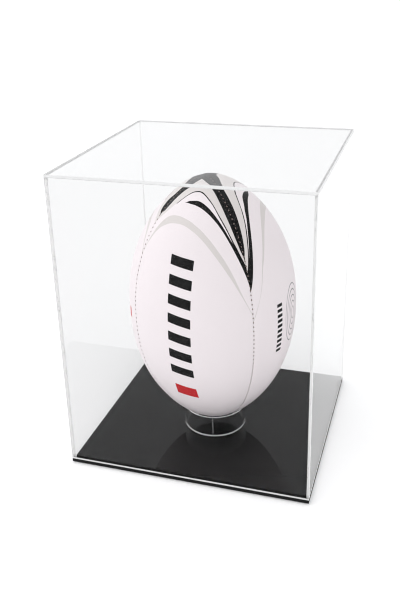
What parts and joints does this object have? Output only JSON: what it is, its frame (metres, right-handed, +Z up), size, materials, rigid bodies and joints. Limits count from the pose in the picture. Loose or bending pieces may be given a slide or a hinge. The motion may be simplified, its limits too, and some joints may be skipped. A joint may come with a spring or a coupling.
{
  "type": "ball display case",
  "caption": "Clear box cover that lifts off a glossy black base, over a clear ring that stands an oval ball on its end for display.",
  "frame": {"origin": "middle of the case's footprint, on the surface that its feet stand on", "axes": "+Z up, -Y to the front, +X to the right seen from the front"},
  "size_m": [0.27, 0.255, 0.339],
  "materials": {
    "clear_acrylic": "polished clear sheet",
    "acrylic_cement": "clear set cement with small bubbles",
    "black_acrylic": "polished black sheet",
    "foot_rubber": "translucent soft bumper",
    "ball_skin": "pebbled synthetic leather, white with black and grey print",
    "seam_thread": "waxed thread",
    "bladder_rubber": "smooth latex",
    "valve_rubber": "smooth"
  },
  "bodies": {
    "base": {"base_plate": "black_acrylic", "locating_plate": "black_acrylic", "foot_front_left": "foot_rubber", "foot_front_right": "foot_rubber", "foot_back_left": "foot_rubber", "foot_back_right": "foot_rubber"},
    "cover": {"cover_front": "clear_acrylic", "cover_back": "clear_acrylic", "cover_left": "clear_acrylic", "cover_right": "clear_acrylic", "cover_top": "clear_acrylic", "cement_front_left": "acrylic_cement", "cement_front_right": "acrylic_cement", "cement_back_left": "acrylic_cement", "cement_back_right": "acrylic_cement", "cement_top": "acrylic_cement"},
    "ring": {"support_ring": "clear_acrylic", "ring_joint_cement": "acrylic_cement"},
    "ball": {"ball_panel_front": "ball_skin", "ball_panel_right": "ball_skin", "ball_panel_back": "ball_skin", "ball_panel_left": "ball_skin", "ball_seam_front_right": "seam_thread", "ball_seam_back_right": "seam_thread", "ball_seam_back_left": "seam_thread", "ball_seam_front_left": "seam_thread", "ball_bladder": "bladder_rubber", "ball_valve": "valve_rubber"}
  },
  "joints": [
    {"name": "cover_lift", "type": "slide", "parent": "base", "child": "cover", "axis": [0, 0, 1], "range_m": [0, 0.35]},
    {"name": "ring_turn", "type": "hinge", "parent": "base", "child": "ring", "pos_m": [0.001, -0.0135, 0.008], "axis": [0, 0, 1], "continuous": true},
    {"name": "ball_lift", "type": "slide", "parent": "ring", "child": "ball", "axis": [0, 0, 1], "range_m": [0, 0.02]}
  ]
}
